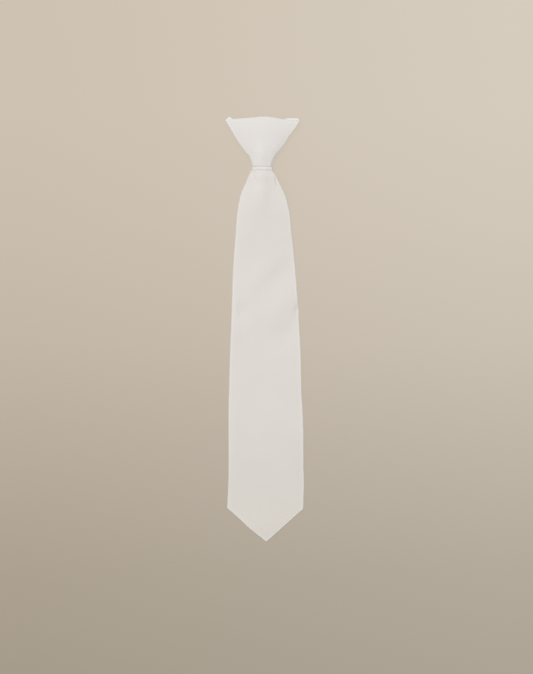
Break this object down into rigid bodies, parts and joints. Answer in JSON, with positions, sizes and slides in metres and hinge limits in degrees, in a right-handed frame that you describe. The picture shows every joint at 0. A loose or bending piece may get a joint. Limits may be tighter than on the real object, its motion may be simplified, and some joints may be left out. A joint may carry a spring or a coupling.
{
  "type": "pre-tied necktie",
  "caption": "Youth's clip-on necktie of plain white cloth: a ready-made triangular knot on a moulded former, a folded blade with a V point, and a clasp behind the knot.",
  "frame": {"origin": "on the surface that the tie lies on, under the middle of its outline", "axes": "+Y from the point up to the knot, +Z out of the cloth's face, +X to the right as seen from the front"},
  "size_m": [0.0653, 0.3555, 0.014],
  "materials": {
    "blade_cloth": "white woven cloth with a faint sheen",
    "knot_cloth": "white woven cloth with a faint sheen, drawn smooth",
    "former_plastic": "white moulded, satin",
    "clip_metal": "nickelled spring strip"
  },
  "bodies": {
    "root": {"blade": "blade_cloth", "knot_wrap": "knot_cloth", "knot_band": "knot_cloth", "knot_former": "former_plastic", "collar_clip": "clip_metal"}
  },
  "joints": []
}
